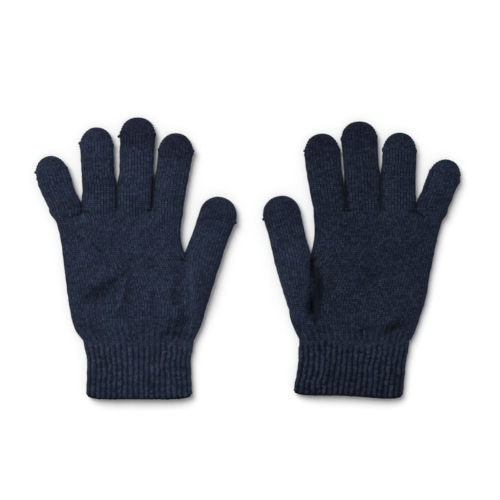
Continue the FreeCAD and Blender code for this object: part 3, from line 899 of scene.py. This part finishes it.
def make_cuff_part(side, part, start, end, tall, seed):
    """A stretch of the ribbed tube, from one share of its height to another."""
    count = max(6, int(round((end - start) * tall / (COURSE / ROW_SAMPLES))) + 1)
    rows = cuff_rows(side, start, end, count)
    u, v, half, share = rows
    widening = 0.0 if part == "cuff" else 0.012
    lip = 1.0 + widening * smooth((share - start) / (end - start) * 2)
    grid, inner = (cuff_layer(rows, lip, thinner) for thinner in (0.0, CLOTH))
    settled = smooth(share * tall / BLEND)[:, None, None]
    grid = grid + (crumple(grid, seed, 0.35 * MM) - grid) * settled
    course = (share * tall / COURSE)[:, None]
    rib = np.arange(grid.shape[1])[None, :] / CUFF_RIB_SAMPLES
    wander = 0.15 * value_noise(rib * 0.31 + 5, course / 7 + 5, seed + 3)
    height, tone = ribbing(rib + wander, course, seed)
    height = height * (1 + 0.12 * value_noise(rib * 0.83 + 9, course / 5 + 9, seed + 4))
    late_start = (4.5 + 4 * value_noise(rib * 0.7 + 2, 1.5, seed + 5)) * MM
    formed = smooth((share[:, None] * tall - late_start) / (6 * MM) + 0.6)
    lift = outward(grid) * (height - 0.75) * RIB_DEPTH * (0.45 + 0.55 * formed)
    knit = grid + normals_of(grid, True) * lift[..., None]
    if part == "hem":
        roll = smooth((share - 1 + 2.2 * MM / tall) / (2.2 * MM / tall))[:, None, None] ** 1.5
        knit = knit + (inner - knit) * 0.6 * roll
        frill = (1 - height) + 0.7 * value_noise(rib * 1.3 + 4, 2.5, seed + 6)
        knit[..., 1] += 0.55 * MM * frill * smooth((share - start) / (end - start))[:, None]
    late = smooth((share - 0.55) / 0.45)[:, None]
    for layer in (knit, inner):
        layer[..., 1] += hang(side, layer[..., 0], u[:, None], half[:, None]) * late
    coarse = np.unique(np.linspace(0, count - 1, max(3, count // RING_SKIP)).astype(int))
    inner = to_frame(side, inner[coarse][:, ::4])
    # painted shade, darkest along the hem's end, which faces away from the light
    hem_end_shade = smooth(1 - (1 - share) * tall / (3.2 * MM))[:, None] ** 1.5
    # painted shade between the ribs; the colour also grows a little darker towards the hem
    lit = 0.36 + 0.52 * (height * formed + 0.62 * (1 - formed))
    lit = lit * (1 + 0.3 * (tone - 0.5)) * (1.02 - 0.19 * share[:, None])
    attributes = knit_attributes(lit * (1 - 0.8 * hem_end_shade), tone)
    piece = shell("%s_%s_rib" % (side, part), to_frame(side, knit), inner, attributes, True)
    dress(piece, "%s_%s" % (side, part), knit_materials[side])
    return piece


def make_cuff(side, seed):
    """The ribbed tube and its cast-off hem, which go round without a break."""
    top = joint_at(side + "_cuff_fold")
    (_, hem_end, _), (_, hem_top, _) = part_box(side + "_hem")
    tall = top.y - hem_end
    split = (top.y - hem_top) / tall
    cuff = make_cuff_part(side, "cuff", 0.0, split, tall, seed)
    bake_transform(cuff)
    hem = make_cuff_part(side, "hem", split, 1.0, tall, seed)
    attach(hem, side + "_cuff")


# ---- knots
def make_knot(side, finger):
    """The closed-off yarn end beside a fingertip: a short twisted stub."""
    node = "%s_%s_knot" % (side, finger)
    low, high = (np.array(corner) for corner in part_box(node))
    middle, radius = (low + high) / 2, float((high - low)[0]) / 2
    tip_low, tip_high = (np.array(corner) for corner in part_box("%s_%s_tip" % (side, finger)))
    inward = (tip_low + tip_high) / 2 - middle
    inward[2] = 0
    inward = inward / np.linalg.norm(inward)
    start, end = middle + inward * 2.6 * radius, middle - inward * 0.8 * radius
    up = np.array([0, 0, 1.0])
    across = np.cross(inward, up)
    rows, columns, turns = 19, 20, 1.4
    grid = []
    for t in np.linspace(0, 1, rows):
        blunt = 1 if t < 0.7 else math.sqrt(max(0.02, 1 - ((t - 0.7) / 0.3) ** 2))
        angle = 2 * np.pi * np.arange(columns) / columns
        ply = 1 + 0.16 * np.cos(2 * (angle + turns * 2 * np.pi * t))
        thick = (radius * (2.3 - 1.5 * t) * blunt * ply)[:, None]
        round_it = np.sin(angle)[:, None] * up + np.cos(angle)[:, None] * across
        grid.append(start + (end - start) * t + thick * round_it)
    grid = np.array(grid)
    inner = grid[[0, rows - 1]] * 0.3 + np.array([start, end])[:, None, :] * 0.7
    touch = 1.0 if finger in TOUCH else 0.0
    attributes = knit_attributes(np.full((rows, columns), 0.8), 0.6, touch)
    piece = shell(node + "_yarn", grid, inner, attributes, True, True)
    dress(piece, node, knit_materials[side])
    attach(piece, "%s_%s_tip" % (side, finger))


# ---- materials
def node_of(tree, kind, **values):
    """A new shader node with some of its inputs or settings filled in."""
    node = tree.nodes.new(kind)
    for key, value in values.items():
        if key in node.inputs:
            node.inputs[key].default_value = value
        else:
            setattr(node, key, value)
    return node


def stretched(tree, value, source, target):
    """A value stretched from one pair of ends to another."""
    spread = node_of(tree, "ShaderNodeMapRange")
    for name, number in zip(("From Min", "From Max", "To Min", "To Max"), source + target):
        spread.inputs[name].default_value = number
    tree.links.new(value, spread.inputs["Value"])
    return spread.outputs["Result"]


def multiplied(tree, colour):
    """A mix that multiplies a colour by another, which is still to be set: (node, result)."""
    mix = node_of(tree, "ShaderNodeMix", data_type="RGBA", blend_type="MULTIPLY")
    mix.inputs["Factor"].default_value = 1.0
    tree.links.new(colour, mix.inputs[6])
    return mix, mix.outputs[2]


def shaded(tree, colour, value, source, target):
    """A colour multiplied by a value that runs between two shades."""
    mix, result = multiplied(tree, colour)
    tree.links.new(stretched(tree, value, source, target), mix.inputs[7])
    return result


def tinted(tree, colour, value, tint):
    """A colour multiplied by a tint as far as a value says."""
    mix, result = multiplied(tree, colour)
    mix.inputs[7].default_value = tint
    tree.links.new(value, mix.inputs["Factor"])
    return result


def noise_of(tree, place, **values):
    """A noise texture's value in the object's own frame."""
    noise = node_of(tree, "ShaderNodeTexNoise", **values)
    tree.links.new(place.outputs["Object"], noise.inputs["Vector"])
    return noise.outputs["Fac"]


def make_knit_material(name, painted_brightness, fluff, gap):
    """Navy wool-mix yarn: painted shade between the strands, lighter on their tops, a darker touch
    yarn.

    The first number scales the whole colour as painted light and shade: the pair is one yarn, but
    the right glove lies darker and its thumb lighter. fluff is how much the loose fibres hide the
    stitches, and gap is the stitch height below which the painted shade is at its darkest.
    """
    material = bpy.data.materials.new(name)
    material.use_nodes = True
    tree = material.node_tree
    tree.nodes.clear()
    out = node_of(tree, "ShaderNodeOutputMaterial")
    shader = node_of(tree, "ShaderNodeBsdfPrincipled", Roughness=0.92)
    shader.inputs["Sheen Weight"].default_value = 0.16
    shader.inputs["Sheen Roughness"].default_value = 0.5
    shader.inputs["Sheen Tint"].default_value = (0.5, 0.58, 0.8, 1)
    shader.inputs["Specular IOR Level"].default_value = 0.06
    yarn, tone, touch = (
        node_of(tree, "ShaderNodeAttribute", attribute_name=key).outputs["Fac"]
        for key in ("yarn", "tone", "touch")
    )
    place = node_of(tree, "ShaderNodeTexCoord")
    # painted shade: the ramp runs from near black between the strands to the navy yarn on their
    # tops
    depth = node_of(tree, "ShaderNodeValToRGB")
    low, high = depth.color_ramp.elements
    low.position, high.position = gap, 1.0
    # both ends scaled by the painted light and shade of this glove or thumb
    low.color = (0.0022 * painted_brightness, 0.0034 * painted_brightness, 0.0072 * painted_brightness, 1)
    high.color = (0.0264 * painted_brightness, 0.0394 * painted_brightness, 0.0708 * painted_brightness, 1)
    tree.links.new(yarn, depth.inputs["Fac"])
    fleck = noise_of(tree, place, Scale=880.0, Detail=2.0, Roughness=0.6)
    patch = noise_of(tree, place, Scale=55.0, Detail=2.0)
    drift = noise_of(tree, place, Scale=120.0, Detail=3.0)
    fibre = noise_of(tree, place, Scale=3200.0, Detail=2.0)
    colour = shaded(tree, depth.outputs["Color"], tone, (0.0, 1.0), (0.80, 1.20))
    colour = shaded(tree, colour, fleck, (0.3, 0.7), (1 - fluff, 1 + fluff))
    colour = shaded(tree, colour, patch, (0.3, 0.7), (0.86, 1.14))
    purple = stretched(tree, drift, (0.4, 0.6), (0.0, 1.0))
    colour = tinted(tree, colour, purple, (1.07, 0.93, 1.02, 1))
    colour = tinted(tree, colour, touch, (0.78, 0.67, 0.73, 1))
    tree.links.new(colour, shader.inputs["Base Color"])
    bump = node_of(tree, "ShaderNodeBump", Strength=0.5, Distance=0.00015)
    tree.links.new(fibre, bump.inputs["Height"])
    tree.links.new(bump.outputs["Normal"], shader.inputs["Normal"])
    tree.links.new(shader.outputs["BSDF"], out.inputs["Surface"])
    return material


# ---- stage
def make_floor():
    """A plain white floor just under the gloves."""
    bpy.ops.mesh.primitive_plane_add(size=6, location=(0, 0, -0.0006))
    floor = bpy.context.object
    floor.name = "floor"
    white = bpy.data.materials.new("floor_white")
    white.use_nodes = True
    shader = white.node_tree.nodes["Principled BSDF"]
    shader.inputs["Base Color"].default_value = (0.92, 0.92, 0.92, 1)
    shader.inputs["Roughness"].default_value = 0.9
    floor.data.materials.append(white)


def make_key_light():
    """Soft light from the upper left."""
    sun = bpy.data.lights.new("key", "SUN")
    sun.energy = 2.7
    sun.angle = math.radians(40)
    lamp = bpy.data.objects.new("key", sun)
    lamp.rotation_euler = Vector((-0.5, 0.62, 1.0)).to_track_quat("Z", "Y").to_euler()
    bpy.context.scene.collection.objects.link(lamp)


def make_world():
    """Even light from all round, and a pale backdrop that only the camera sees."""
    world = bpy.data.worlds.new("studio")
    world.use_nodes = True
    tree = world.node_tree
    fill = tree.nodes["Background"]
    fill.inputs["Color"].default_value = (1, 1, 1, 1)
    fill.inputs["Strength"].default_value = 0.45
    seen = node_of(tree, "ShaderNodeBackground", Color=(0.94, 0.94, 0.94, 1))
    path = node_of(tree, "ShaderNodeLightPath")
    mix = node_of(tree, "ShaderNodeMixShader")
    tree.links.new(path.outputs["Is Camera Ray"], mix.inputs[0])
    tree.links.new(fill.outputs[0], mix.inputs[1])
    tree.links.new(seen.outputs[0], mix.inputs[2])
    tree.links.new(mix.outputs[0], tree.nodes["World Output"].inputs["Surface"])
    bpy.context.scene.world = world


def make_camera():
    """A camera straight above, whose view at the gloves' height is VIEW_WIDTH wide."""
    data = bpy.data.cameras.new("camera")
    data.lens = 110
    data.sensor_width = 36
    camera = bpy.data.objects.new("camera", data)
    height = VIEW_WIDTH * data.lens / data.sensor_width + 0.006
    camera.location = (0.0008, 0.0068, height)
    camera.rotation_euler = (0, 0, 0)
    bpy.context.scene.collection.objects.link(camera)
    bpy.context.scene.camera = camera
    bpy.context.scene.view_settings.view_transform = "Standard"


# ---- the scene
# one navy yarn throughout; the first numbers paint light and shade, the right glove darker and its
# thumb lighter
knit_materials = {
    "left": make_knit_material("navy_knit_left", 1.03, 0.52, 0.32),
    "right": make_knit_material("navy_knit_right", 0.81, 0.56, 0.42),
}
thumb_materials = {
    "left": make_knit_material("navy_knit_left_thumb", 1.0, 0.48, 0.3),
    "right": make_knit_material("navy_knit_right_thumb", 1.06, 0.3, 0.42),
}
for side in SIDES:
    seed = 100 if side == "left" else 300
    for above in (True, False):
        make_palm_face(side, above, seed)
    for number, finger in enumerate(FINGERS):
        make_stall(side, finger, FINGER_WALES[finger], seed + 10 + number)
    make_thumb(side, seed + 20)
    make_cuff(side, seed + 30)
    for finger in FINGERS + ("thumb",):
        make_knot(side, finger)
make_floor()
make_key_light()
make_world()
make_camera()
